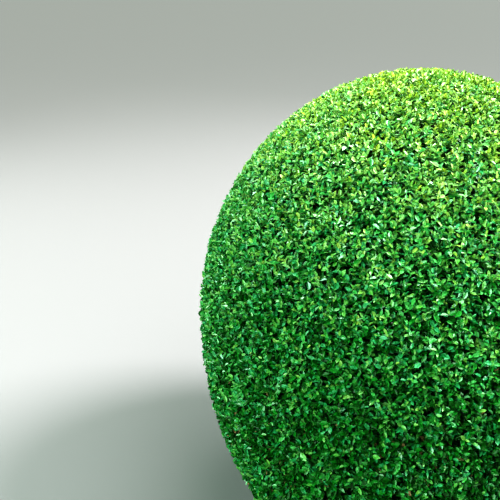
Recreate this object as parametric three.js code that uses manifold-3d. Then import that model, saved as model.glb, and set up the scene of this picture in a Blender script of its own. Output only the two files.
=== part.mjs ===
// A clipped box (Buxus) ball, rooted in the ground: a short stem with its root flare, and one dense
// clipped mass of foliage round it. Millimetres, +Z up, with the origin in the middle of the stem's
// flat cut at ground level.
import * as THREE from "three";
import { mergeVertices } from "three/addons/utils/BufferGeometryUtils.js";
import Module from "manifold-3d";

// The clipped outline, which the outermost leaf tips reach.
const BALL_WIDTH = 1220;
const BALL_HEIGHT = 1340;
const WIDEST_LEVEL = 645;
const FOOT_RADIUS = 420;

// The stem, from the ground to its tip inside the foliage.
const STEM_HEIGHT = 300;
const STEM_RADIUS = 46;
const STEM_TIP_RADIUS = 34;
const STEM_LEAN = 12;
const STEM_LEAN_CURVE = 1.5;
const FLARE_RADIUS = 84;
const FLARE_FALL = 25;
const FLARE_LOBES = 5;
const FLARE_LOBE_DEPTH = 0.13;
const FLARE_LOBE_FALL = 47;
const STEM_SIDES = 20;
const STEM_RINGS = 7;
const STEM_RING_CROWDING = 1.6;

// The core that the shoots stand out of, dished a little underneath.
const LEAF_LAYER = 54;
const CORE_SIDES = 26;
const CORE_RINGS_ABOVE = 8;
const CORE_RINGS_BELOW = 5;
const CORE_UNDERSIDE_RIM = 20;
const CORE_UNDERSIDE_MIDDLE = 62;
const CLEARANCE = 0.4;

// The twigs, on an even lattice, each forked inside the core into shoots that end in a bud.
const TWIG_COUNT = 92;
const TWIG_ROOT_DEPTH = 60;
const SHOOTS_PER_TWIG = 2;
const SHOOT_SPREAD = 88;
const SHOOT_RADIUS = 7;
const SHOOT_SIDES = 3;
const SHOOT_TIP_DEPTH = 30;
const LOWEST_SHOOT = 45;
const UPWARD_PULL = 0.22;
const SHOOT_STRAIGHTENING = 0.7;

// The leaves, larger than life, each of which stands for a tuft of small ones.
const LEAVES_PER_SHOOT = 3;
const LEAF_LENGTH = 124;
const LEAF_WIDTH = 68;
const LEAF_THICKNESS = 6;
const LEAF_WIDEST = 0.42;
const LEAF_OPENING = 1.15;
const LEAF_ROOT_LEVEL = -17;
const LEAF_CLIPS = [1, 0.86, 0.72];
const LENGTH_VARIATION = 0.3;
const OPENING_VARIATION = 0.23;
const OUTLINE_TOLERANCE = 1;
const GROUND_CLEARANCE = 4;
const SEED = 20417;

const GOLDEN_ANGLE = Math.PI * (3 - Math.sqrt(5));
const OUTLINE_STEPS = 400;
const NEARLY_UPRIGHT = 0.95;
const MERGE_DISTANCE = 1e-3;
const BALL_RADIUS = BALL_WIDTH / 2;
const UPPER_REACH = BALL_HEIGHT - WIDEST_LEVEL;
// The lower half is an ellipse that the ground cuts off where it has come in to the foot's radius.
const LOWER_REACH = WIDEST_LEVEL / Math.sqrt(1 - (FOOT_RADIUS / BALL_RADIUS) ** 2);
const X = new THREE.Vector3(1, 0, 0);
const UP = new THREE.Vector3(0, 0, 1);

const wasm = await Module();
wasm.setup();

// A seeded run of numbers from 0 to 1.
function randomNumbers(seed) {
  let state = seed >>> 0;
  return () => {
    state = (state + 0x6d2b79f5) >>> 0;
    let mixed = Math.imul(state ^ (state >>> 15), 1 | state);
    mixed = (mixed + Math.imul(mixed ^ (mixed >>> 7), 61 | mixed)) ^ mixed;
    return ((mixed ^ (mixed >>> 14)) >>> 0) / 2 ** 32;
  };
}

// A factor about 1 that varies by a share of itself.
function varied(random, share) {
  return 1 + share * (random() - 0.5);
}

function reachAt(z) {
  return z > WIDEST_LEVEL ? UPPER_REACH : LOWER_REACH;
}

// The clipped outline's radius at a height, taken in by an inset.
function outlineRadius(z, inset = 0) {
  const share = (z - WIDEST_LEVEL) / (reachAt(z) - inset);
  return (BALL_RADIUS - inset) * Math.sqrt(Math.max(0, 1 - share * share));
}

function outwards(point) {
  const across = BALL_RADIUS ** 2;
  const rise = (point.z - WIDEST_LEVEL) / reachAt(point.z) ** 2;
  return new THREE.Vector3(point.x / across, point.y / across, rise).normalize();
}

// The point where the ray from the ball's middle through a point meets the clipped outline.
function onOutline(point) {
  const across = Math.hypot(point.x, point.y) / BALL_RADIUS;
  const rise = point.z - WIDEST_LEVEL;
  const share = 1 / Math.hypot(across, rise / reachAt(point.z));
  return new THREE.Vector3(point.x * share, point.y * share, WIDEST_LEVEL + rise * share);
}

// A closed geometry with only its positions, its shared vertices merged.
function bare(geometry) {
  geometry.deleteAttribute("normal");
  geometry.deleteAttribute("uv");
  return mergeVertices(geometry, MERGE_DISTANCE);
}

function solidFrom(geometry) {
  const merged = bare(geometry);
  return new wasm.Manifold(
    new wasm.Mesh({
      numProp: 3,
      vertProperties: merged.attributes.position.array,
      triVerts: new Uint32Array(merged.index.array),
    }),
  );
}

function geometryFrom(solid) {
  const mesh = solid.getMesh();
  return new THREE.BufferGeometry()
    .setAttribute("position", new THREE.BufferAttribute(mesh.vertProperties, 3))
    .setIndex(new THREE.BufferAttribute(mesh.triVerts, 1));
}

// A profile of [radius, height] pairs turned about the vertical axis, from the bottom up.
function turned(profile, sides) {
  const points = profile.map(([radius, height]) => new THREE.Vector2(radius, height));
  return new THREE.LatheGeometry(points, sides).rotateX(Math.PI / 2);
}

// The stem tapers upwards, leans a little, and spreads into lobes where the roots begin.
function stemGeometry(grown = 0) {
  const profile = [[0, 0]];
  for (let i = 0; i <= STEM_RINGS; i++) {
    const share = (i / STEM_RINGS) ** STEM_RING_CROWDING;
    const height = STEM_HEIGHT * share;
    const flare = (FLARE_RADIUS - STEM_RADIUS) * Math.exp(-height / FLARE_FALL);
    const radius = THREE.MathUtils.lerp(STEM_RADIUS, STEM_TIP_RADIUS, share) + flare;
    profile.push([radius + grown, height + grown * share]);
  }
  profile.push([0, STEM_HEIGHT + grown]);
  const geometry = turned(profile, STEM_SIDES);
  const position = geometry.attributes.position;
  for (let i = 0; i < position.count; i++) {
    const x = position.getX(i);
    const y = position.getY(i);
    const height = Math.max(0, position.getZ(i));
    const depth = FLARE_LOBE_DEPTH * Math.exp(-height / FLARE_LOBE_FALL);
    const lobe = 1 + depth * Math.cos(FLARE_LOBES * Math.atan2(y, x));
    const lean = STEM_LEAN * (height / STEM_HEIGHT) ** STEM_LEAN_CURVE;
    position.setXYZ(i, x * lobe + lean, y * lobe, height);
  }
  return geometry;
}

// The clipped mass's dense inside: the outline taken in by the leaf layer, cut clear of the stem.
function coreSolid() {
  const profile = [[0, CORE_UNDERSIDE_MIDDLE]];
  for (let i = 0; i <= CORE_RINGS_BELOW; i++) {
    const share = i / CORE_RINGS_BELOW;
    const height = THREE.MathUtils.lerp(CORE_UNDERSIDE_RIM, WIDEST_LEVEL, share);
    profile.push([outlineRadius(height, LEAF_LAYER), height]);
  }
  for (let i = 1; i < CORE_RINGS_ABOVE; i++) {
    const turn = (i / CORE_RINGS_ABOVE) * (Math.PI / 2);
    const height = WIDEST_LEVEL + (UPPER_REACH - LEAF_LAYER) * Math.sin(turn);
    profile.push([(BALL_RADIUS - LEAF_LAYER) * Math.cos(turn), height]);
  }
  profile.push([0, BALL_HEIGHT - LEAF_LAYER]);
  return solidFrom(turned(profile, CORE_SIDES)).subtract(solidFrom(stemGeometry(CLEARANCE)));
}

// A leaf of eight faces that leans out from its shoot's axis, +Z, with its blade facing along it.
function leafGeometry(length, opening, turn) {
  const geometry = new THREE.OctahedronGeometry(1);
  const position = geometry.attributes.position;
  const along = [0, LEAF_WIDEST, 1];
  for (let i = 0; i < position.count; i++) {
    const place = along[Math.round(position.getZ(i)) + 1];
    position.setX(i, (position.getX(i) * length * LEAF_WIDTH) / LEAF_LENGTH / 2);
    position.setY(i, (position.getY(i) * LEAF_THICKNESS) / 2);
    position.setZ(i, place * length);
  }
  return geometry.rotateX(opening).rotateZ(turn).translate(0, 0, LEAF_ROOT_LEVEL);
}

// The frame of a shoot whose bud is at a point and whose axis points one way.
function shootFrame(bud, axis, turn) {
  const side = sideways(axis).applyAxisAngle(axis, turn);
  const other = new THREE.Vector3().crossVectors(axis, side);
  return new THREE.Matrix4().makeBasis(side, other, axis).setPosition(bud);
}

// A direction square to another one, level where that one isn't nearly upright.
function sideways(direction) {
  const level = Math.abs(direction.z) > NEARLY_UPRIGHT ? X : UP;
  return new THREE.Vector3().crossVectors(level, direction).normalize();
}

// Whether a geometry keeps inside the clipped outline and clear of the ground.
function fits(geometry) {
  const position = geometry.attributes.position;
  for (let i = 0; i < position.count; i++) {
    const height = position.getZ(i);
    const across = Math.hypot(position.getX(i), position.getY(i));
    if (height < GROUND_CLEARANCE) return false;
    if (across > outlineRadius(height) + OUTLINE_TOLERANCE) return false;
  }
  return true;
}

// The even lattice of places on the clipped outline where the twigs come out.
function twigPlaces() {
  const heights = [0];
  const areas = [0];
  for (let i = 1; i <= OUTLINE_STEPS; i++) {
    heights.push((BALL_HEIGHT * i) / OUTLINE_STEPS);
    const low = outlineRadius(heights[i - 1]);
    const high = outlineRadius(heights[i]);
    const slant = Math.hypot(high - low, heights[i] - heights[i - 1]);
    areas.push(areas[i - 1] + (slant * (low + high)) / 2);
  }
  const places = [];
  for (let k = 0; k < TWIG_COUNT; k++) {
    const area = (areas[OUTLINE_STEPS] * (k + 0.5)) / TWIG_COUNT;
    const step = areas.findIndex((reached) => reached >= area);
    const share = (area - areas[step - 1]) / (areas[step] - areas[step - 1]);
    const height = THREE.MathUtils.lerp(heights[step - 1], heights[step], share);
    const radius = outlineRadius(height);
    const angle = k * GOLDEN_ANGLE;
    places.push(new THREE.Vector3(radius * Math.cos(angle), radius * Math.sin(angle), height));
  }
  return places;
}

// A three-sided shoot from the fork to its bud, and its leaves, one opening from each side.
function shootSolids(fork, bud, growth, random) {
  const axis = new THREE.Vector3().subVectors(bud, fork);
  const reach = axis.length();
  axis.normalize().lerp(growth, SHOOT_STRAIGHTENING).normalize();
  const frame = shootFrame(bud, axis, random() * Math.PI * 2);
  const stalk = new THREE.ConeGeometry(SHOOT_RADIUS, reach, SHOOT_SIDES);
  stalk.translate(0, -reach / 2, 0).rotateX(Math.PI / 2).applyMatrix4(frame);
  const solids = [solidFrom(stalk)];
  for (let k = 0; k < LEAVES_PER_SHOOT; k++) {
    const turn = ((k + 0.5) / LEAVES_PER_SHOOT) * Math.PI * 2;
    const length = LEAF_LENGTH * varied(random, LENGTH_VARIATION);
    const opening = LEAF_OPENING * varied(random, OPENING_VARIATION);
    const cuts = LEAF_CLIPS.map((clip) => leafGeometry(length * clip, opening, turn));
    const leaf = cuts.map((cut) => cut.applyMatrix4(frame)).find(fits);
    if (leaf) solids.push(solidFrom(leaf));
  }
  return solids;
}

// The shoots of one twig, which spread from their fork inside the core.
function twigSolids(place, random) {
  const normal = outwards(place);
  const growth = normal.clone().addScaledVector(UP, UPWARD_PULL).normalize();
  const fork = place.clone().addScaledVector(normal, -LEAF_LAYER - TWIG_ROOT_DEPTH);
  const side = sideways(normal).applyAxisAngle(normal, random() * Math.PI);
  const solids = [];
  for (let s = 0; s < SHOOTS_PER_TWIG; s++) {
    const away = side.clone().applyAxisAngle(normal, (s / SHOOTS_PER_TWIG) * Math.PI * 2);
    const spread = SHOOT_SPREAD * varied(random, LENGTH_VARIATION);
    const outer = place.clone().addScaledVector(away, spread);
    outer.z = Math.max(outer.z, LOWEST_SHOOT);
    const bud = onOutline(outer).addScaledVector(normal, -SHOOT_TIP_DEPTH);
    solids.push(...shootSolids(fork, bud, growth, random));
  }
  return solids;
}

// The clipped mass in one body: core, shoots and leaves, with what fusing seals filled.
function foliageSolid() {
  const random = randomNumbers(SEED);
  const pieces = twigPlaces().flatMap((place) => twigSolids(place, random));
  const fused = pieces.reduce((mass, piece) => mass.add(piece), coreSolid());
  return fused.decompose().reduce((kept, body) => (body.volume() > kept.volume() ? body : kept));
}

const bark = new THREE.MeshStandardMaterial({ color: 0x6b5a41, roughness: 0.9, metalness: 0 });
const leaves = new THREE.MeshStandardMaterial({ color: 0x2f8a1c, roughness: 0.45, metalness: 0 });

const stem = new THREE.Mesh(bare(stemGeometry()), bark);
stem.name = "stem";

const foliage = new THREE.Mesh(geometryFrom(foliageSolid()), leaves);
foliage.name = "foliage_ball";

const boxBall = new THREE.Group();
boxBall.add(stem, foliage);

export default boxBall;
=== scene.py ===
import math
from collections import namedtuple

import bpy
import numpy as np
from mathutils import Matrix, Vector, kdtree, noise


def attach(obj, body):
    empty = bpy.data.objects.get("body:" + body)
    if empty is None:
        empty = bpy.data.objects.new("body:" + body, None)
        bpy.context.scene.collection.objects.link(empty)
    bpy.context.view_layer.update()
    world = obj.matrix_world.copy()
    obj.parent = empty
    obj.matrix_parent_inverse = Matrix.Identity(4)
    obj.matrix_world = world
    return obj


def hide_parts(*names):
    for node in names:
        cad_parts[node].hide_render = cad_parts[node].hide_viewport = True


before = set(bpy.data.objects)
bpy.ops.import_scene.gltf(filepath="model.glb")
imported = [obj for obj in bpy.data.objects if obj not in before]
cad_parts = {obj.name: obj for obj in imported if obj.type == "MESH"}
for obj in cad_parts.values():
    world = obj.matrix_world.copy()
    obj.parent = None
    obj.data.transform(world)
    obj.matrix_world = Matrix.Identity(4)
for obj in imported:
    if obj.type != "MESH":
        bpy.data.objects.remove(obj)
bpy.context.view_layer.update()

# The clipped outline, as the solids have it. All sizes are in metres.
BALL_RADIUS = 0.610
BALL_HEIGHT = 1.340
WIDEST_LEVEL = 0.645
FOOT_RADIUS = 0.420
UPPER_REACH = BALL_HEIGHT - WIDEST_LEVEL
LOWER_REACH = WIDEST_LEVEL / math.sqrt(1 - (FOOT_RADIUS / BALL_RADIUS) ** 2)
OUTLINE_STEPS = 2000
GOLDEN_ANGLE = math.pi * (3 - math.sqrt(5))
SEED = 20417

# The patterns of patches: the slant that sets them apart, and the gain that brings their values to about 1
DRIFT_SLANT = 0.7
DRIFT_GAIN = 1.6

# The stem, as the solids have it
STEM_HEIGHT = 0.300
STEM_RADIUS = 0.046
STEM_TIP_RADIUS = 0.034
STEM_LEAN = 0.012
STEM_LEAN_CURVE = 1.5
STEM_RINGS = 64
STEM_RING_CROWDING = 1.6
STEM_SIDES = 72
FLARE_RADIUS = 0.084
FLARE_FALL = 0.025
FLARE_LOBES = 5
FLARE_LOBE_DEPTH = 0.13
FLARE_LOBE_FALL = 0.047

# The bark's relief: its depth, and how closely the stem's furrows and plates follow each other
BARK_RELIEF = 0.0016
FURROWS_AROUND = 7
FURROWS_UP = 9
PLATES_AROUND = 16
PLATES_UP = 34
PLATES_SHIFT = 5
PLATE_SHARE = 1.2

# The generations of limbs, from the stem outwards. Depth is how deep their ends lie under the clipped
# outline, and lowest is how high the lowest of them lie. Turn is the turn of the lattice that they lie on,
# wander is the most that the limbs sway, and relief is the depth of their ridges.
Limbs = namedtuple("Limbs", "count depth lowest turn start_radius end_radius segments sides wander relief")
BOUGHS = Limbs(
    count=9,
    depth=0.340,
    lowest=0.340,
    turn=0.4,
    start_radius=0.0185,
    end_radius=0.0100,
    segments=20,
    sides=14,
    wander=0.010,
    relief=BARK_RELIEF,
)
BRANCHES = Limbs(
    count=120,
    depth=0.215,
    lowest=0.110,
    turn=1.1,
    start_radius=0.0080,
    end_radius=0.0045,
    segments=10,
    sides=7,
    wander=0.010,
    relief=BARK_RELIEF * 0.6,
)
TWIGS = Limbs(
    count=950,
    depth=0.130,
    lowest=0.060,
    turn=2.3,
    start_radius=0.0036,
    end_radius=0.0021,
    segments=5,
    sides=4,
    wander=0.005,
    relief=0.0,
)
SPRIGS = Limbs(
    count=5600,
    depth=0.072,
    lowest=0.034,
    turn=0.7,
    start_radius=0.0017,
    end_radius=0.0011,
    segments=2,
    sides=3,
    wander=0.002,
    relief=0.0,
)
LIMB_PULL = 0.75
LIMB_BEND = 0.42
LIMB_STRAYING = 0.28
LIMB_LOWEST_SHARE = 0.8
LIMB_THICKNESSES = (0.85, 1.15)
OLDER_WAY_SHARE = 0.6
SWAY_BETWEEN_LIMBS = 31.0
SWAY_ALONG_LIMB = 9.0
SWAY_GAIN = 8.0
RIDGE_GRAIN = (260.0, 260.0, 90.0)
RIDGE_DETAIL = 2.0

# How the boughs leave the stem, each as the lowest one's value and what is added for the highest: the share
# of the stem's height, how far they spread and rise, and their thickness
BOUGH_STARTS = (0.62, 0.32)
BOUGH_SPREADS = (1.05, -1.0)
BOUGH_RISES = (0.55, 0.5)
BOUGH_THICKNESSES = (0.9, 0.5)
# Gives a bough that ends right over the stem a side to spread to
OFF_CENTRE = 1e-6

# The shoots, which carry the leaves, and the hollows between them, where the buds lie deeper
GROUND_CLEARANCE = 0.008
SHOOT_COUNT = 31000
SHOOT_LOWEST = 0.012
SHOOT_RADIUS = 0.0011
SHOOT_PULL = 0.65
SHOOT_JITTER = 0.0050
SHOOT_SIZES = (0.86, 1.14)
SHOOT_REACH_SHARE = 0.9
BUD_DEPTH = 0.008
BUD_DEPTH_SPREAD = 0.015
BUD_DEPTH_RARITY = 2.2
BUD_LOWEST = GROUND_CLEARANCE + 0.006
BUD_LOWEST_SPREAD = 0.012
HOLLOW_DEPTH = 0.062
HOLLOW_WIDTH = 0.036
HOLLOW_RARITY = 0.34
HOLLOW_TOP_LOSS = 0.85

# How young the leaves are, with painted light and shade mixed in, from about 0 for old to 1 for young: at
# the foot, what is gained towards the clipped top, partly young growth and partly painted light from above,
# and in patches, and what is lost in hollows, which is painted shade, and by inner leaves, partly their age
# and partly painted shade. No leaf reaches the limit.
FOOT_YOUTH_AND_LIGHT = 0.29
TOP_YOUTH_AND_LIGHT_GAIN = 0.77
TOP_YOUTH_AND_LIGHT_CURVE = 3.2
WIDE_PATCH = 0.080
WIDE_PATCH_YOUTH = 0.08
SMALL_PATCH = 0.034
SMALL_PATCH_YOUTH = 0.10
SHOOT_YOUTH_SPREAD = 0.07
HOLLOW_PAINTED_SHADE = 0.22
INNER_AGE_AND_PAINTED_SHADE = 0.48
TOP_INNER_AGE_AND_SHADE_EASING = 0.04
YOUTH_LIMIT = 9.0

# The leaves. An edge is the points on each side of a blade, each so far out and so far along.
LEAF_LENGTH = 0.0210
LEAF_WIDTH = 0.0106
TOP_LEAF_SHARE = 0.69
TOP_LEAF_CURVE = 1.4
LEAF_FOLD = 0.65
LEAF_ARCH = 0.06
FULL_EDGE = [(0.74, 0.17), (1.0, 0.48), (0.74, 0.82)]
PLAIN_EDGE = [(0.84, 0.28), (0.94, 0.68)]
INNER_EDGE = [(1.0, 0.48)]
LEAVES_PER_SHOOT = 6
INTERNODE = 0.0085
FIRST_PAIR_GAP = 0.3
PAIR_TWIST = 0.8
LEAF_NOD = 1.0
LEAF_TWIST = 1.2
FIRST_PAIR_SHARE = 0.74
INWARD_GAIN = 0.5
LEAF_WIDTHS = (0.84, 1.08)
LEAF_FOLDS = (0.2, 1.4)

# The old leaves that hang on inside the crown, in tufts at shares of the way along the limbs
OLD_LEAVES_PER_TUFT = 6
OLD_LEAF_LENGTH = 0.0250
OLD_INTERNODE = 0.012
OLD_TIP_OPENING = 0.9
OLD_ROOT_OPENING = 1.3
TUFT_SIZES = (0.85, 1.15)
SPRIG_TUFTS = (1.0,)
SPRIG_TUFT_SIZE = 1.0
TWIG_TUFTS = (0.35, 0.55, 0.75, 0.92)
TWIG_TUFT_SIZE = 1.5
BRANCH_TUFTS = (0.45, 0.6, 0.75, 0.9, 1.0)
BRANCH_TUFT_SIZE = 2.2

# The finishes of bark: its two tones, how fine its grain is and how strongly it stands out
Bark = namedtuple("Bark", "dark light grain bump")
BOUGH_BARK = Bark((0.150, 0.125, 0.090), (0.360, 0.310, 0.235), 90.0, 0.5)
TWIG_BARK = Bark((0.130, 0.070, 0.034), (0.340, 0.220, 0.120), 160.0, 0.3)
SHOOT_BARK = Bark((0.050, 0.115, 0.018), (0.130, 0.250, 0.050), 200.0, 0.2)
BARK_ROUGHNESS = 0.8
BARK_STRETCH = (1, 1, 0.35)
BARK_DETAIL = 5.0
BARK_DETAIL_ROUGHNESS = 0.65
BARK_BUMP_DISTANCE = 0.001

# The kinds of leaf, from the oldest and most shaded to the youngest and most lit: the youth and light where
# each begins, its two tones, its roughness and its gloss. The darker kinds stand partly for painted shade
# in hollows, on inner leaves and at the foot, the lighter ones partly for painted light towards the top,
# and the shaded kind's near-black tones are painted shade.
LeafKind = namedtuple("LeafKind", "youth dark light roughness gloss")
LEAF_KINDS = {
    "dry": LeafKind(-YOUTH_LIMIT, (0.110, 0.060, 0.026), (0.270, 0.170, 0.075), 0.65, 0.30),
    "shaded": LeafKind(-0.38, (0.001, 0.038, 0.001), (0.002, 0.104, 0.004), 0.50, 0.30),
    "deep": LeafKind(0.10, (0.001, 0.096, 0.004), (0.008, 0.210, 0.018), 0.42, 0.60),
    "bluish": LeafKind(0.25, (0.002, 0.158, 0.030), (0.035, 0.308, 0.122), 0.36, 1.00),
    "mid": LeafKind(0.35, (0.008, 0.214, 0.012), (0.078, 0.345, 0.102), 0.36, 1.00),
    "clear": LeafKind(0.47, (0.048, 0.260, 0.014), (0.165, 0.382, 0.118), 0.36, 1.00),
    "fresh": LeafKind(0.64, (0.104, 0.290, 0.018), (0.222, 0.408, 0.122), 0.40, 0.80),
    "young": LeafKind(0.82, (0.178, 0.322, 0.024), (0.294, 0.434, 0.114), 0.46, 0.60),
    "golden": LeafKind(1.06, (0.225, 0.350, 0.010), (0.350, 0.450, 0.048), 0.48, 0.50),
}
# The old leaves' tones: dark partly with age and partly as painted shade inside the crown
OLD_AND_SHADED_LEAF = LeafKind(-YOUTH_LIMIT, (0.001, 0.030, 0.002), (0.004, 0.074, 0.006), 0.60, 0.25)
LEAF_MOTTLE_GRAIN = 220.0
LEAF_MOTTLE_DETAIL = 1.0

# The value of a pattern up to which it has its dark tone, and the one from which it has its light tone
DARK_STOP = 0.34
LIGHT_STOP = 0.66

# The camera, where the photograph's outline puts it, and how far it looks down, in degrees
CAMERA_PLACE = (-0.462, -1.800, 1.627)
CAMERA_DIP = 23.65
LENS = 50
SENSOR = 36

# The stage and its light
FLOOR_HALF = 300
FLOOR_COLOUR = (0.168, 0.155, 0.162, 1)
FLOOR_ROUGHNESS = 0.9
ROOM_COLOUR = (0.80, 0.82, 0.80, 1)
ROOM_STRENGTH = 0.72
GLOW_COLOUR = (0.36, 1.0, 0.42, 1)
GLOW_STRENGTH = 0.32
KEY_SOFTNESS = math.radians(20)


# The clipped outline and the places on it

def unit(vectors):
    return vectors / np.linalg.norm(vectors, axis=1, keepdims=True)


def reach_at(z):
    return np.where(z > WIDEST_LEVEL, UPPER_REACH, LOWER_REACH)


def outline_radius(z, inset=0.0):
    share = (z - WIDEST_LEVEL) / (reach_at(z) - inset)
    return (BALL_RADIUS - inset) * np.sqrt(np.maximum(0, 1 - share**2))


def outwards(places):
    rise = (places[:, 2] - WIDEST_LEVEL) / reach_at(places[:, 2]) ** 2
    return unit(np.column_stack([places[:, :2] / BALL_RADIUS**2, rise]))


def height_share(z):
    return np.clip(z / BALL_HEIGHT, 0, 1)


def leaf_share(z):
    """How large leaves grow at a height, against those at the foot: the clipped top has the smallest."""
    return 1 + (TOP_LEAF_SHARE - 1) * height_share(z) ** TOP_LEAF_CURVE


def even_places(count, lowest, inset=0.0, turn=0.0, crowded=False):
    """An even lattice of places on the outline, taken in by an inset, or closer where leaves are small."""
    heights = np.linspace(lowest, BALL_HEIGHT - inset, OUTLINE_STEPS)
    radii = outline_radius(heights, inset)
    slants = np.hypot(np.diff(radii), np.diff(heights))
    rings = slants * (radii[1:] + radii[:-1]) / 2
    if crowded:
        rings = rings / leaf_share(heights[1:]) ** 2
    areas = np.concatenate([[0], np.cumsum(rings)])
    wanted = areas[-1] * (np.arange(count) + 0.5) / count
    height = np.interp(wanted, areas, heights)
    angle = np.arange(count) * GOLDEN_ANGLE + turn
    radius = outline_radius(height, inset)
    return np.column_stack([radius * np.cos(angle), radius * np.sin(angle), height])


def pulled_up(places, pull):
    """The ways that limbs grow at places: out of the outline, and up towards the light."""
    return unit(outwards(places) + [0, 0, pull])


def drift(places, width, pattern):
    """Smooth random values from about -1 to 1, in patches of a width. Each pattern has its own patches."""
    shift = Vector((pattern, pattern * DRIFT_SLANT, -pattern))
    values = [noise.noise(Vector(place) / width + shift) for place in places.tolist()]
    return np.array(values) * DRIFT_GAIN


# Meshes

def mesh_object(name, vertices, faces=()):
    mesh = bpy.data.meshes.new(name)
    mesh.from_pydata(np.asarray(vertices).tolist(), [], list(faces))
    mesh.update()
    made = bpy.data.objects.new(name, mesh)
    bpy.context.scene.collection.objects.link(made)
    return made


def point_object(name, places, **fields):
    """Loose points, each with its own named values for a Geometry Nodes tree to read."""
    made = mesh_object(name, places)
    for label, values in fields.items():
        is_vector = values.ndim == 2
        attribute = made.data.attributes.new(label, "FLOAT_VECTOR" if is_vector else "FLOAT", "POINT")
        plain = np.ascontiguousarray(values, dtype=np.float32).ravel()
        attribute.data.foreach_set("vector" if is_vector else "value", plain)
    return made


def grown(source, tree, name, inputs):
    """The plain mesh that a Geometry Nodes tree makes from a source object."""
    modifier = source.modifiers.new("grow", "NODES")
    modifier.node_group = tree
    sockets = {item.name: item.identifier for item in tree.interface.items_tree if item.in_out == "INPUT"}
    for label, value in inputs.items():
        modifier[sockets[label]] = value
    evaluated = source.evaluated_get(bpy.context.evaluated_depsgraph_get())
    mesh = bpy.data.meshes.new_from_object(evaluated)
    source.modifiers.remove(modifier)
    mesh.name = name
    kept = {"material_index", "sharp_face"}
    for label in [a.name for a in mesh.attributes if not a.is_required and not a.is_internal]:
        if label not in kept:
            mesh.attributes.remove(mesh.attributes[label])
    made = bpy.data.objects.new(name, mesh)
    bpy.context.scene.collection.objects.link(made)
    return made


# Node trees in short hand

class Field:
    """A node's output that can be reckoned with like a number or a vector."""

    def __init__(self, nodes, socket):
        self.nodes = nodes
        self.socket = socket

    def __add__(self, other):
        return self.nodes.reckon("ADD", self, other)

    def __radd__(self, other):
        return self.nodes.reckon("ADD", other, self)

    def __sub__(self, other):
        return self.nodes.reckon("SUBTRACT", self, other)

    def __rsub__(self, other):
        return self.nodes.reckon("SUBTRACT", other, self)

    def __mul__(self, other):
        return self.nodes.reckon("MULTIPLY", self, other)

    def __truediv__(self, other):
        return self.nodes.reckon("DIVIDE", self, other)


class Nodes:
    """A node tree of any kind, with calls that add its nodes and link them."""

    def __init__(self, tree):
        self.tree = tree

    def node(self, kind, settings=None, **links):
        made = self.tree.nodes.new(kind)
        for key, value in (settings or {}).items():
            setattr(made, key, value)
        for label, value in links.items():
            socket = next(s for s in made.inputs if s.enabled and s.name.replace(" ", "_") == label)
            self.feed(socket, value)
        return made

    def feed(self, socket, value):
        if isinstance(value, Field):
            self.tree.links.new(value.socket, socket)
        else:
            socket.default_value = value

    def out(self, node, label=None):
        enabled = [s for s in node.outputs if s.enabled]
        return Field(self, enabled[0] if label is None else next(s for s in enabled if s.name == label))

    def field(self, kind, settings=None, **links):
        return self.out(self.node(kind, settings, **links))

    def is_vector(self, value):
        return isinstance(value, tuple) or isinstance(value, Field) and value.socket.type == "VECTOR"

    def reckon(self, operation, *values):
        vectors = [self.is_vector(value) for value in values]
        scaled = any(vectors) and not all(vectors) and operation == "MULTIPLY"
        node = self.tree.nodes.new("ShaderNodeVectorMath" if any(vectors) else "ShaderNodeMath")
        node.operation = "SCALE" if scaled else operation
        if scaled:
            vector, number = values if vectors[0] else values[::-1]
            self.feed(node.inputs[0], vector)
            self.feed(node.inputs["Scale"], number)
        else:
            for socket, value in zip(node.inputs, values):
                self.feed(socket, value)
        return self.out(node)

    def mixed(self, share, first, second):
        kind = "VECTOR" if self.is_vector(first) else "FLOAT"
        return self.field("ShaderNodeMix", {"data_type": kind}, Factor=share, A=first, B=second)


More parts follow.
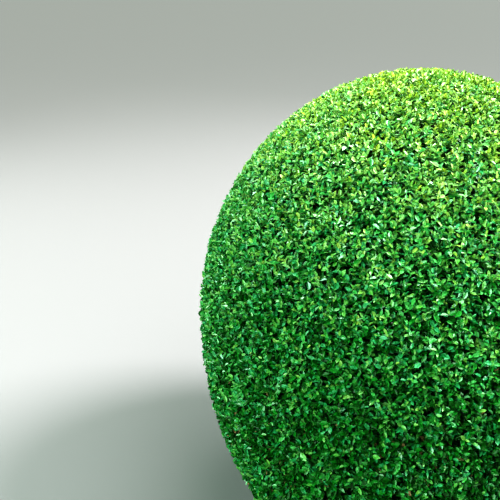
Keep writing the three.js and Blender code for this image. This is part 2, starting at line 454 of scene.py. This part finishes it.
class Tree(Nodes):
    """A Geometry Nodes tree with named inputs and its own run of random draws."""

    def __init__(self, name, inputs):
        super().__init__(bpy.data.node_groups.new(name, "GeometryNodeTree"))
        interface = self.tree.interface
        interface.new_socket("Geometry", in_out="INPUT", socket_type="NodeSocketGeometry")
        common = {"Seed": ("Int", SEED), "Material": ("Material", None)}
        for label, (kind, value) in {**inputs, **common}.items():
            socket = interface.new_socket(label, in_out="INPUT", socket_type="NodeSocket" + kind)
            if value is not None:
                socket.default_value = value
        interface.new_socket("Geometry", in_out="OUTPUT", socket_type="NodeSocketGeometry")
        self.start = self.tree.nodes.new("NodeGroupInput")
        self.end = self.tree.nodes.new("NodeGroupOutput")
        self.draws = 0

    def input(self, label):
        return Field(self, self.start.outputs[label])

    def stored(self, label, kind="FLOAT"):
        return self.field("GeometryNodeInputNamedAttribute", {"data_type": kind}, Name=label)

    def store(self, geometry, label, value, kind="FLOAT"):
        settings = {"data_type": kind, "domain": "POINT"}
        links = {"Geometry": geometry, "Name": label, "Value": value}
        return self.field("GeometryNodeStoreNamedAttribute", settings, **links)

    def index(self):
        return self.field("GeometryNodeInputIndex")

    def random(self, low, high):
        self.draws += 1
        seed = self.input("Seed") + self.draws
        return self.field("FunctionNodeRandomValue", Min=low, Max=high, Seed=seed)

    def stray(self, most=1.0):
        return self.random(-most, most)

    def parts(self, vector):
        node = self.node("ShaderNodeSeparateXYZ", Vector=vector)
        return [Field(self, socket) for socket in node.outputs]

    def joined(self, x=0.0, y=0.0, z=0.0):
        return self.field("ShaderNodeCombineXYZ", X=x, Y=y, Z=z)

    def turned(self, rotation, axis, angle):
        part = self.field("FunctionNodeAxisAngleToRotation", Axis=axis, Angle=angle)
        settings = {"rotation_space": "LOCAL"}
        return self.field("FunctionNodeRotateRotation", settings, Rotation=rotation, Rotate_By=part)

    def facing(self, way, spin):
        upright = self.field("FunctionNodeAlignRotationToVector", {"axis": "Z"}, Vector=way)
        return self.turned(upright, (0, 0, 1), spin)

    def loose_line(self, count):
        """A line of points that all lie at the origin, for a tree to set apart."""
        return self.field("GeometryNodeMeshLine", {"mode": "OFFSET"}, Count=count, Offset=(0, 0, 0))

    def realized(self, geometry):
        return self.field("GeometryNodeRealizeInstances", Geometry=geometry)

    def original(self, label, **links):
        """The mesh of an object that is an input of the tree."""
        settings = {"transform_space": "ORIGINAL"}
        node = self.node("GeometryNodeObjectInfo", settings, Object=self.input(label), **links)
        return self.out(node, "Geometry")

    def finish(self, geometry):
        dressed = self.field("GeometryNodeSetMaterial", Geometry=geometry, Material=self.input("Material"))
        self.tree.links.new(dressed.socket, self.end.inputs[0])
        return self.tree


# The stem, with its flare in lobes and the furrows of its bark

def stem_lean(height):
    return STEM_LEAN * (height / STEM_HEIGHT) ** STEM_LEAN_CURVE


def stem_ring(share):
    """The corners of the stem's ring at a share of its height."""
    height = STEM_HEIGHT * share
    flare = (FLARE_RADIUS - STEM_RADIUS) * math.exp(-height / FLARE_FALL)
    radius = STEM_RADIUS + (STEM_TIP_RADIUS - STEM_RADIUS) * share + flare
    depth = FLARE_LOBE_DEPTH * math.exp(-height / FLARE_LOBE_FALL)
    lean = stem_lean(height)
    corners = []
    for side in range(STEM_SIDES):
        angle = 2 * math.pi * side / STEM_SIDES
        lobe = 1 + depth * math.cos(FLARE_LOBES * angle)
        across = Vector((math.cos(angle), math.sin(angle), 0))
        furrow = noise.noise(across * FURROWS_AROUND + Vector((0, 0, height * FURROWS_UP)))
        plate = noise.noise(across * PLATES_AROUND + Vector((0, 0, height * PLATES_UP + PLATES_SHIFT)))
        reach = radius * lobe + BARK_RELIEF * (furrow - abs(plate) * PLATE_SHARE)
        corners.append((reach * across.x + lean, reach * across.y, height))
    return corners


def stem_bark(material):
    corners = []
    for ring in range(STEM_RINGS + 1):
        corners += stem_ring((ring / STEM_RINGS) ** STEM_RING_CROWDING)
    foot = len(corners)
    tip = foot + 1
    corners += [(0, 0, 0), (STEM_LEAN, 0, STEM_HEIGHT)]
    faces = []
    for ring in range(STEM_RINGS):
        first = ring * STEM_SIDES
        for side in range(STEM_SIDES):
            below = first + side
            beside = first + (side + 1) % STEM_SIDES
            faces.append((below, beside, beside + STEM_SIDES, below + STEM_SIDES))
    last = STEM_RINGS * STEM_SIDES
    for side in range(STEM_SIDES):
        beside = (side + 1) % STEM_SIDES
        faces.append((foot, beside, side))
        faces.append((tip, last + side, last + beside))
    stem = mesh_object("stem_bark", corners, faces)
    stem.data.polygons.foreach_set("use_smooth", [True] * len(stem.data.polygons))
    stem.data.materials.append(material)
    return stem


# The tree that grows limbs, each a bent and tapering tube from its start to its end

def limb_tree():
    tree = Tree(
        "bent_limbs",
        {
            "Segments": ("Int", BRANCHES.segments),
            "Sides": ("Int", BRANCHES.sides),
            "Bend": ("Float", LIMB_BEND),
            "Wander": ("Float", BRANCHES.wander),
            "Relief": ("Float", BRANCHES.relief),
        },
    )
    segments = tree.input("Segments")
    line = tree.loose_line(segments + 1)
    line = tree.store(line, "along", tree.index() / segments)
    limbs = tree.field("GeometryNodeInstanceOnPoints", Points=tree.input("Geometry"), Instance=line)
    limbs = tree.realized(limbs)
    # A curve through four points, the middle ones set off along the ways of the two ends
    along = tree.stored("along")
    first = tree.stored("start", "FLOAT_VECTOR")
    last = tree.stored("end", "FLOAT_VECTOR")
    span = tree.field("ShaderNodeVectorMath", {"operation": "LENGTH"}, Vector=last - first)
    second = first + tree.stored("start_way", "FLOAT_VECTOR") * (span * tree.input("Bend"))
    third = last - tree.stored("end_way", "FLOAT_VECTOR") * (span * tree.input("Bend"))
    points = [first, second, third, last]
    while len(points) > 1:
        points = [tree.mixed(along, a, b) for a, b in zip(points, points[1:])]
    # Between its ends each limb sways a little to all sides
    where = last * SWAY_BETWEEN_LIMBS + points[0] * SWAY_ALONG_LIMB
    sway = tree.out(tree.node("ShaderNodeTexNoise", Vector=where, Scale=1.0, Detail=1.0), "Color")
    sway = (sway - (0.5, 0.5, 0.5)) * (along * (1.0 - along) * SWAY_GAIN * tree.input("Wander"))
    limbs = tree.field("GeometryNodeSetPosition", Geometry=limbs, Position=points[0] + sway)
    curves = tree.field("GeometryNodeMeshToCurve", Mesh=limbs)
    ring = tree.field("GeometryNodeCurvePrimitiveCircle", Resolution=tree.input("Sides"), Radius=1.0)
    radius = tree.mixed(along, tree.stored("start_radius"), tree.stored("end_radius"))
    links = {"Curve": curves, "Profile_Curve": ring, "Scale": radius, "Fill_Caps": True}
    tubes = tree.field("GeometryNodeCurveToMesh", **links)
    # Ridges of bark that run along the limb
    grain = tree.field("GeometryNodeInputPosition") * RIDGE_GRAIN
    ridges = tree.field("ShaderNodeTexNoise", Vector=grain, Scale=1.0, Detail=RIDGE_DETAIL) - 0.5
    relief = tree.field("GeometryNodeInputNormal") * (ridges * tree.input("Relief"))
    tubes = tree.field("GeometryNodeSetPosition", Geometry=tubes, Offset=relief)
    return tree.finish(tree.field("GeometryNodeSetShadeSmooth", Geometry=tubes))


# The tree that grows bare shoots, each a slim cone down from its bud

def shoot_tree():
    tree = Tree("bare_shoots", {"Cone": ("Object", None), "Thickness": ("Float", SHOOT_RADIUS)})
    thickness = tree.input("Thickness")
    shoots = tree.field(
        "GeometryNodeInstanceOnPoints",
        Points=tree.input("Geometry"),
        Instance=tree.original("Cone"),
        Rotation=tree.facing(tree.stored("growth", "FLOAT_VECTOR"), tree.stored("spin")),
        Scale=tree.joined(thickness, thickness, tree.stored("stalk")),
    )
    return tree.finish(tree.realized(shoots))


def shoot_cone():
    """A three-sided cone of unit size, with its tip at the origin and its base below."""
    base = [(math.cos(a), math.sin(a), -1.0) for a in (0, 2 * math.pi / 3, 4 * math.pi / 3)]
    return mesh_object("shoot_cone", [(0, 0, 0)] + base, [(0, 1, 2), (0, 2, 3), (0, 3, 1)])


# The leaf, a blade folded along its midrib

def leaf_blade(name, edge):
    """A blade of unit length with its root at the origin, its tip at +Z and its upper side to +Y."""
    half = LEAF_WIDTH / LEAF_LENGTH / 2
    left = [(-half * out, half * out * LEAF_FOLD, along) for out, along in edge]
    right = [(half * out, half * out * LEAF_FOLD, along) for out, along in reversed(edge)]
    points = [(0, 0, 0)] + left + [(0, -LEAF_ARCH, 1)] + right
    tip = len(edge) + 1
    return mesh_object(name, points, [tuple(range(tip + 1)), (0, *range(tip, len(points)))])


# The tree that grows leaves along shoots, in pairs from the bud inwards

def shoot_stations(tree):
    """The stations of one shoot's leaves, counted in pairs from its bud."""
    line = tree.loose_line(tree.input("Leaves"))
    pair = tree.reckon("FLOOR", tree.index() / 2.0)
    level = tree.joined(z=(pair + FIRST_PAIR_GAP) * tree.input("Internode") * -1.0)
    line = tree.field("GeometryNodeSetPosition", Geometry=line, Position=level)
    line = tree.store(line, "pair", pair)
    return tree.store(line, "side", tree.reckon("MODULO", tree.index(), 2.0))


def leaf_nodes(tree):
    """The stations of all leaves, with one shoot at each bud."""
    facing = tree.facing(tree.stored("growth", "FLOAT_VECTOR"), tree.stored("spin"))
    shoots = tree.field(
        "GeometryNodeInstanceOnPoints",
        Points=tree.store(tree.input("Geometry"), "shoot_turn", facing, "QUATERNION"),
        Instance=shoot_stations(tree),
        Rotation=tree.stored("shoot_turn", "QUATERNION"),
        Scale=tree.stored("size"),
    )
    return tree.realized(shoots)


def leaf_turn(tree, along):
    """Each pair stands at a right angle to the one before, and opens wider further down."""
    untidy = tree.input("Untidiness")
    crosswise = tree.stored("side") * math.pi + tree.stored("pair") * (math.pi / 2)
    crosswise = crosswise + untidy * tree.stray(PAIR_TWIST)
    opening = tree.mixed(along, tree.input("Tip Opening"), tree.input("Root Opening"))
    opening = opening + untidy * tree.stray(LEAF_NOD)
    rotation = tree.stored("shoot_turn", "QUATERNION")
    rotation = tree.turned(rotation, (0, 0, 1), crosswise)
    rotation = tree.turned(rotation, (1, 0, 0), opening)
    # A leaf's stalk twists its upper side round towards the light
    settings = {"axis": "Y", "pivot_axis": "Z"}
    links = {"Rotation": rotation, "Factor": tree.input("Turn To Light"), "Vector": tree.input("Light")}
    rotation = tree.field("FunctionNodeAlignRotationToVector", settings, **links)
    return tree.turned(rotation, (0, 0, 1), untidy * tree.stray(LEAF_TWIST))


def leaf_length(tree, along):
    """The outermost pair isn't full grown yet."""
    grown_out = tree.reckon("MINIMUM", FIRST_PAIR_SHARE + along * INWARD_GAIN, 1.0)
    length = tree.stored("size") * grown_out * (1.0 + tree.input("Size Variation") * tree.stray())
    return length * tree.input("Leaf Length")


def leaf_stays(tree, rotation, length):
    """A leaf stays if its youth and painted light are this kind's and its tip is within the outline and off
    the ground.
    """
    tip = tree.field("FunctionNodeRotateVector", Vector=tree.joined(z=length), Rotation=rotation)
    x, y, z = tree.parts(tree.field("GeometryNodeInputPosition") + tip)
    rise = z - tree.input("Widest Level")
    overhang = tree.input("Overhang") * tree.stray()
    above = tree.reckon("GREATER_THAN", rise, 0.0)
    reach = tree.mixed(above, tree.input("Lower Reach"), tree.input("Upper Reach")) + overhang
    radius = tree.input("Ball Radius") + overhang
    across = (x * x + y * y) / (radius * radius) + (rise * rise) / (reach * reach)
    youth = tree.stored("leaf_youth")
    within = tree.reckon("LESS_THAN", across, 1.0)
    within = within * tree.reckon("GREATER_THAN", z, tree.input("Ground Clearance"))
    within = within * tree.reckon("GREATER_THAN", youth, tree.input("Oldest"))
    return within * tree.reckon("LESS_THAN", youth, tree.input("Youngest"))


def leaf_tree():
    tree = Tree(
        "leafy_shoots",
        {
            "Inner Blade": ("Object", None),
            "Plain Blade": ("Object", None),
            "Full Blade": ("Object", None),
            "Leaves": ("Int", LEAVES_PER_SHOOT),
            "Internode": ("Float", INTERNODE),
            "Leaf Length": ("Float", LEAF_LENGTH),
            "Tip Opening": ("Float", 0.68),
            "Root Opening": ("Float", 1.34),
            "Untidiness": ("Float", 0.42),
            "Size Variation": ("Float", 0.28),
            "Turn To Light": ("Float", 0.40),
            "Light": ("Vector", (0.35, -0.10, 1.0)),
            "Age Variation": ("Float", 0.23),
            "Youngest": ("Float", YOUTH_LIMIT),
            "Oldest": ("Float", -YOUTH_LIMIT),
            "Ball Radius": ("Float", BALL_RADIUS),
            "Widest Level": ("Float", WIDEST_LEVEL),
            "Upper Reach": ("Float", UPPER_REACH),
            "Lower Reach": ("Float", LOWER_REACH),
            "Overhang": ("Float", 0.003),
            "Ground Clearance": ("Float", GROUND_CLEARANCE),
        },
    )
    nodes = leaf_nodes(tree)
    pair = tree.stored("pair")
    along = pair * 2.0 / (tree.input("Leaves") - 2.0)
    rotation = leaf_turn(tree, along)
    nodes = tree.store(nodes, "leaf_turn", rotation, "QUATERNION")
    length = leaf_length(tree, along)
    width = length * tree.random(*LEAF_WIDTHS)
    shape = tree.joined(width, length * tree.random(*LEAF_FOLDS), length)
    nodes = tree.store(nodes, "leaf_size", shape, "FLOAT_VECTOR")
    # Leaves further in along the shoot are older and take painted shade
    youth = tree.stored("youth") - along * tree.stored("ageing")
    youth = youth + tree.input("Age Variation") * tree.stray()
    nodes = tree.store(nodes, "leaf_youth", youth)
    nodes = tree.store(nodes, "clipped", 1.0 - leaf_stays(tree, rotation, length))
    nodes = tree.field("GeometryNodeDeleteGeometry", Geometry=nodes, Selection=tree.stored("clipped"))
    # The outermost pair has full blades, and the ones further in plainer and plainer blades
    blades = tree.node("GeometryNodeJoinGeometry")
    for label in ("Inner Blade", "Plain Blade", "Full Blade"):
        tree.tree.links.new(tree.original(label, As_Instance=True).socket, blades.inputs[0])
    leaves = tree.field(
        "GeometryNodeInstanceOnPoints",
        Points=nodes,
        Instance=tree.out(blades),
        Pick_Instance=True,
        Instance_Index=tree.reckon("MINIMUM", pair, 2.0),
        Rotation=tree.stored("leaf_turn", "QUATERNION"),
        Scale=tree.stored("leaf_size", "FLOAT_VECTOR"),
    )
    return tree.finish(tree.realized(leaves))


# Finishes

def principled(name, roughness, gloss=0.5):
    material = bpy.data.materials.new(name)
    material.use_nodes = True
    shader = material.node_tree.nodes["Principled BSDF"]
    shader.inputs["Roughness"].default_value = roughness
    shader.inputs["Specular IOR Level"].default_value = gloss
    return material, Nodes(material.node_tree), shader


def two_tones(nodes, pattern, dark, light):
    ramp = nodes.node("ShaderNodeValToRGB", Fac=pattern)
    for stop, place, colour in zip(ramp.color_ramp.elements, (DARK_STOP, LIGHT_STOP), (dark, light)):
        stop.position = place
        stop.color = (*colour, 1)
    return nodes.out(ramp)


def object_place(nodes):
    return nodes.out(nodes.node("ShaderNodeTexCoord"), "Object")


def leaf_finish(name, kind):
    material, nodes, shader = principled(name, kind.roughness, kind.gloss)
    links = {"Vector": object_place(nodes), "Scale": LEAF_MOTTLE_GRAIN, "Detail": LEAF_MOTTLE_DETAIL}
    mottle = nodes.field("ShaderNodeTexNoise", **links)
    nodes.feed(shader.inputs["Base Color"], two_tones(nodes, mottle, kind.dark, kind.light))
    return material


def bark_finish(name, bark):
    material, nodes, shader = principled(name, BARK_ROUGHNESS)
    stretched = nodes.field("ShaderNodeMapping", Vector=object_place(nodes), Scale=BARK_STRETCH)
    grain = {"Scale": bark.grain, "Detail": BARK_DETAIL, "Roughness": BARK_DETAIL_ROUGHNESS}
    fibre = nodes.field("ShaderNodeTexNoise", Vector=stretched, **grain)
    nodes.feed(shader.inputs["Base Color"], two_tones(nodes, fibre, bark.dark, bark.light))
    raised = nodes.field("ShaderNodeBump", Height=fibre, Strength=bark.bump, Distance=BARK_BUMP_DISTANCE)
    nodes.feed(shader.inputs["Normal"], raised)
    return material


# The growth, where each generation of limbs forks from the nearest ends of the one before

Growth = namedtuple("Growth", "places ways")


def nearest(parents, targets):
    tree = kdtree.KDTree(len(parents))
    for number, place in enumerate(parents.tolist()):
        tree.insert(place, number)
    tree.balance()
    return np.array([tree.find(target)[1] for target in targets.tolist()])


def limb_ends(limbs, rng):
    """The ends of a generation, which stray from their lattice, and less where there are more of them."""
    places = even_places(limbs.count, limbs.lowest, limbs.depth, limbs.turn)
    places += rng.normal(0, LIMB_STRAYING * math.sqrt(1 / limbs.count) * BALL_RADIUS, places.shape)
    places[:, 2] = np.maximum(places[:, 2], limbs.lowest * LIMB_LOWEST_SHARE)
    return Growth(places, pulled_up(places, LIMB_PULL))


def limb_piece(name, limbs, starts, ends, thickness, tree, material):
    source = point_object(
        name + "_ends",
        ends.places,
        start=starts.places,
        end=ends.places,
        start_way=starts.ways,
        end_way=ends.ways,
        start_radius=limbs.start_radius * thickness,
        end_radius=limbs.end_radius * thickness,
    )
    inputs = {
        "Segments": limbs.segments,
        "Sides": limbs.sides,
        "Wander": limbs.wander,
        "Relief": limbs.relief,
        "Material": material,
    }
    piece = grown(source, tree, name, inputs)
    bpy.data.objects.remove(source)
    return piece


def over_boughs(values, rise):
    """A value for each bough, from the lowest one's to the highest one's."""
    lowest, gain = values
    return lowest + gain * rise


def boughs_from_stem(ends):
    """Where the boughs leave the stem, and how thick: the higher their ends, the nearer to its tip."""
    rise = (ends.places[:, 2] - ends.places[:, 2].min()) / np.ptp(ends.places[:, 2])
    height = STEM_HEIGHT * over_boughs(BOUGH_STARTS, rise)
    lean = stem_lean(height)
    places = np.column_stack([lean, np.zeros(len(lean)), height])
    level = unit(ends.places[:, :2] + OFF_CENTRE) * over_boughs(BOUGH_SPREADS, rise)[:, None]
    ways = unit(np.column_stack([level, over_boughs(BOUGH_RISES, rise)]))
    return Growth(places, ways), over_boughs(BOUGH_THICKNESSES, rise**2)


def forked_from(older, younger, reach):
    """For each younger end, the older end that it forks from and the way it sets out."""
    chosen = nearest(older.places, younger.places - younger.ways * reach)
    gap = younger.places - older.places[chosen]
    ways = unit(older.ways[chosen] * OLDER_WAY_SHARE + unit(gap))
    return Growth(older.places[chosen], ways)


def along_limbs(starts, ends, share):
    """The places and ways a share of the way along each limb."""
    span = np.linalg.norm(ends.places - starts.places, axis=1, keepdims=True) * LIMB_BEND
    second = starts.places + starts.ways * span
    third = ends.places - ends.ways * span
    points = [starts.places, second, third, ends.places]
    while len(points) > 2:
        points = [a + (b - a) * share for a, b in zip(points, points[1:])]
    return Growth(points[0] + (points[1] - points[0]) * share, unit(points[1] - points[0]))


def make_limbs(rng):
    """The stem, the pieces of the limbs, and where the limbs past the boughs start and end."""
    tree = limb_tree()
    old_bark = bark_finish("bough_bark", BOUGH_BARK)
    twig_bark = bark_finish("twig_bark", TWIG_BARK)
    ends = limb_ends(BOUGHS, rng)
    starts, thickness = boughs_from_stem(ends)
    pieces = [limb_piece("boughs", BOUGHS, starts, ends, thickness, tree, old_bark)]
    limbs_grown = []
    for name, limbs, older, bark in (
        ("branches", BRANCHES, BOUGHS, old_bark),
        ("twigs", TWIGS, BRANCHES, twig_bark),
        ("sprigs", SPRIGS, TWIGS, twig_bark),
    ):
        younger = limb_ends(limbs, rng)
        starts = forked_from(ends, younger, older.depth - limbs.depth)
        thickness = rng.uniform(*LIMB_THICKNESSES, limbs.count)
        pieces.append(limb_piece(name, limbs, starts, younger, thickness, tree, bark))
        limbs_grown.append((starts, younger))
        ends = younger
    return stem_bark(old_bark), pieces, limbs_grown


def shoot_youth_and_light(places, height, hollow, rng):
    """How young the leaves of each shoot are: lighter towards the top, partly as young growth and partly as
    painted light, and darker in hollows as painted shade.
    """
    youth = FOOT_YOUTH_AND_LIGHT + TOP_YOUTH_AND_LIGHT_GAIN * height**TOP_YOUTH_AND_LIGHT_CURVE
    youth += WIDE_PATCH_YOUTH * drift(places, WIDE_PATCH, pattern=11.0)
    youth += SMALL_PATCH_YOUTH * drift(places, SMALL_PATCH, pattern=5.0)
    # Leaves in hollows are dealt darker kinds: painted shade
    youth += rng.normal(0, SHOOT_YOUTH_SPREAD, len(places)) - HOLLOW_PAINTED_SHADE * hollow
    return youth


def shoot_buds(sprigs, rng):
    """The buds at the shoots' ends, with how each shoot stands, how young its leaves are and how its inner
    leaves age, with painted light and shade in both.
    """
    places = even_places(SHOOT_COUNT, SHOOT_LOWEST, crowded=True)
    places += rng.normal(0, SHOOT_JITTER, places.shape)
    height = height_share(places[:, 2])
    hollow = np.maximum(0, drift(places, HOLLOW_WIDTH, pattern=3.0) - HOLLOW_RARITY)
    hollow *= 1 - HOLLOW_TOP_LOSS * height**2
    depth = BUD_DEPTH + BUD_DEPTH_SPREAD * rng.random(SHOOT_COUNT) ** BUD_DEPTH_RARITY
    depth += HOLLOW_DEPTH * hollow
    buds = places - outwards(places) * depth[:, None]
    buds[:, 2] = np.maximum(buds[:, 2], BUD_LOWEST + rng.uniform(0, BUD_LOWEST_SPREAD, SHOOT_COUNT))
    ways = pulled_up(places, SHOOT_PULL)
    chosen = nearest(sprigs.places, buds - ways * SPRIGS.depth * SHOOT_REACH_SHARE)
    stalk = buds - sprigs.places[chosen]
    length = np.linalg.norm(stalk, axis=1)
    youth = shoot_youth_and_light(places, height, hollow, rng)
    return point_object(
        "shoot_buds",
        buds,
        growth=stalk / length[:, None],
        stalk=length,
        spin=rng.uniform(0, 2 * math.pi, SHOOT_COUNT),
        size=rng.uniform(*SHOOT_SIZES, SHOOT_COUNT) * leaf_share(places[:, 2]),
        youth=youth,
        ageing=INNER_AGE_AND_PAINTED_SHADE - TOP_INNER_AGE_AND_SHADE_EASING * height,
    )


def old_tufts(limbs_grown, rng):
    """The old leaves that hang on, in tufts along the limbs: larger tufts on the branches, further in."""
    branches, twigs, sprigs = limbs_grown
    tufts = []
    sizes = []
    for limbs, shares, size in (
        (sprigs, SPRIG_TUFTS, SPRIG_TUFT_SIZE),
        (twigs, TWIG_TUFTS, TWIG_TUFT_SIZE),
        (branches, BRANCH_TUFTS, BRANCH_TUFT_SIZE),
    ):
        for share in shares:
            tufts.append(along_limbs(*limbs, share))
            sizes.append(np.full(len(tufts[-1].places), size))
    places = np.concatenate([tuft.places for tuft in tufts])
    return point_object(
        "old_tufts",
        places,
        growth=np.concatenate([tuft.ways for tuft in tufts]),
        spin=rng.uniform(0, 2 * math.pi, len(places)),
        size=np.concatenate(sizes) * rng.uniform(*TUFT_SIZES, len(places)),
        youth=np.zeros(len(places)),
        ageing=np.zeros(len(places)),
    )


def make_leaves(limbs_grown, rng):
    """The leaves' pieces, one for each kind, and the piece of the shoots that carry them."""
    tree = leaf_tree()
    blades = {
        "Full Blade": leaf_blade("full_leaf_blade", FULL_EDGE),
        "Plain Blade": leaf_blade("plain_leaf_blade", PLAIN_EDGE),
        "Inner Blade": leaf_blade("inner_leaf_blade", INNER_EDGE),
    }
    sprig_ends = limbs_grown[-1][1]
    buds = shoot_buds(sprig_ends, rng)
    pieces = []
    upper_limits = [kind.youth for kind in LEAF_KINDS.values()][1:] + [YOUTH_LIMIT]
    for (name, kind), upper_limit in zip(LEAF_KINDS.items(), upper_limits):
        material = leaf_finish("leaf_" + name, kind)
        inputs = {**blades, "Oldest": kind.youth, "Youngest": upper_limit, "Material": material}
        pieces.append(grown(buds, tree, "leaves_" + name, inputs))
    cone = shoot_cone()
    inputs = {"Cone": cone, "Material": bark_finish("shoot_bark", SHOOT_BARK)}
    shoots = grown(buds, shoot_tree(), "shoots", inputs)
    # The old leaves inside the crown, dark partly with age and partly as painted shade
    old = old_tufts(limbs_grown, rng)
    inputs = {
        **dict.fromkeys(blades, blades["Inner Blade"]),
        "Oldest": OLD_AND_SHADED_LEAF.youth,
        "Leaves": OLD_LEAVES_PER_TUFT,
        "Internode": OLD_INTERNODE,
        "Leaf Length": OLD_LEAF_LENGTH,
        "Tip Opening": OLD_TIP_OPENING,
        "Root Opening": OLD_ROOT_OPENING,
        "Material": leaf_finish("leaf_old", OLD_AND_SHADED_LEAF),
    }
    pieces.append(grown(old, tree, "leaves_old", inputs))
    for helper in (buds, cone, old, *blades.values()):
        bpy.data.objects.remove(helper)
    return pieces, shoots


# The stage

def make_floor():
    material, _, shader = principled("pale_floor", FLOOR_ROUGHNESS)
    shader.inputs["Base Color"].default_value = FLOOR_COLOUR
    half = FLOOR_HALF
    corners = [(-half, -half, 0), (half, -half, 0), (half, half, 0), (-half, half, 0)]
    floor = mesh_object("floor", corners, [(0, 1, 2, 3)])
    floor.data.materials.append(material)


def make_camera():
    lens = bpy.data.cameras.new("camera")
    lens.lens = LENS
    lens.sensor_width = SENSOR
    camera = bpy.data.objects.new("camera", lens)
    camera.location = CAMERA_PLACE
    camera.rotation_euler = (math.radians(90 - CAMERA_DIP), 0, 0)
    bpy.context.scene.collection.objects.link(camera)
    bpy.context.scene.camera = camera


def lamp_object(name, kind, place, strength, colour, **settings):
    """A lamp that aims at the ball's middle and doesn't show itself."""
    lamp = bpy.data.lights.new(name, kind)
    lamp.energy = strength
    lamp.color = colour
    for key, value in settings.items():
        setattr(lamp, key, value)
    made = bpy.data.objects.new(name, lamp)
    made.visible_camera = False
    made.location = place
    aim = Vector((0, 0, WIDEST_LEVEL)) - Vector(place)
    made.rotation_euler = aim.to_track_quat("-Z", "Y").to_euler()
    bpy.context.scene.collection.objects.link(made)


def soft_lamp(name, place, strength, colour, width):
    lamp_object(name, "AREA", place, strength, colour, shape="DISK", size=width)


def make_room():
    """The room shows pale, and lights the plant softly with a touch of green."""
    world = bpy.data.worlds.new("studio")
    world.use_nodes = True
    nodes = Nodes(world.node_tree)
    room = nodes.node("ShaderNodeBackground", Color=ROOM_COLOUR, Strength=ROOM_STRENGTH)
    glow = world.node_tree.nodes["Background"]
    glow.inputs["Color"].default_value = GLOW_COLOUR
    glow.inputs["Strength"].default_value = GLOW_STRENGTH
    seen = nodes.out(nodes.node("ShaderNodeLightPath"), "Is Camera Ray")
    shown = nodes.node("ShaderNodeMixShader", Fac=seen)
    world.node_tree.links.new(glow.outputs[0], shown.inputs[1])
    world.node_tree.links.new(room.outputs[0], shown.inputs[2])
    world.node_tree.links.new(shown.outputs[0], world.node_tree.nodes["World Output"].inputs["Surface"])
    bpy.context.scene.world = world


def make_lamps():
    white = (1.0, 1.0, 1.0)
    lamp_object("key", "SUN", place=(3.4, 0.0, 4.1), strength=7.2, colour=white, angle=KEY_SOFTNESS)
    soft_lamp("overhead", place=(1.3, 0.6, 4.6), strength=220, colour=(0.99, 1.0, 1.0), width=5.0)
    soft_lamp("front", place=(1.5, -2.8, 4.6), strength=122, colour=white, width=3.0)
    soft_lamp("back", place=(1.9, 4.0, 3.0), strength=110, colour=(0.98, 0.99, 1.0), width=3.0)
    soft_lamp("fill", place=(-3.2, -2.9, 2.4), strength=250, colour=(0.72, 1.0, 0.88), width=2.6)
    soft_lamp("shade_side", place=(-3.4, 2.2, 3.0), strength=130, colour=(0.92, 1.0, 0.95), width=3.0)


make_camera()
make_room()
make_lamps()
make_floor()
bpy.context.scene.view_settings.view_transform = "Standard"
bpy.context.scene.view_settings.look = "High Contrast"

chance = np.random.default_rng(SEED)
stem, limb_pieces, limbs_grown = make_limbs(chance)
leaf_pieces, shoots = make_leaves(limbs_grown, chance)

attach(stem, "root")
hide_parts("stem")
for piece in [*limb_pieces, shoots]:
    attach(piece, "root")
    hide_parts("foliage_ball")
for piece in leaf_pieces:
    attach(piece, "root")
    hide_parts("foliage_ball")
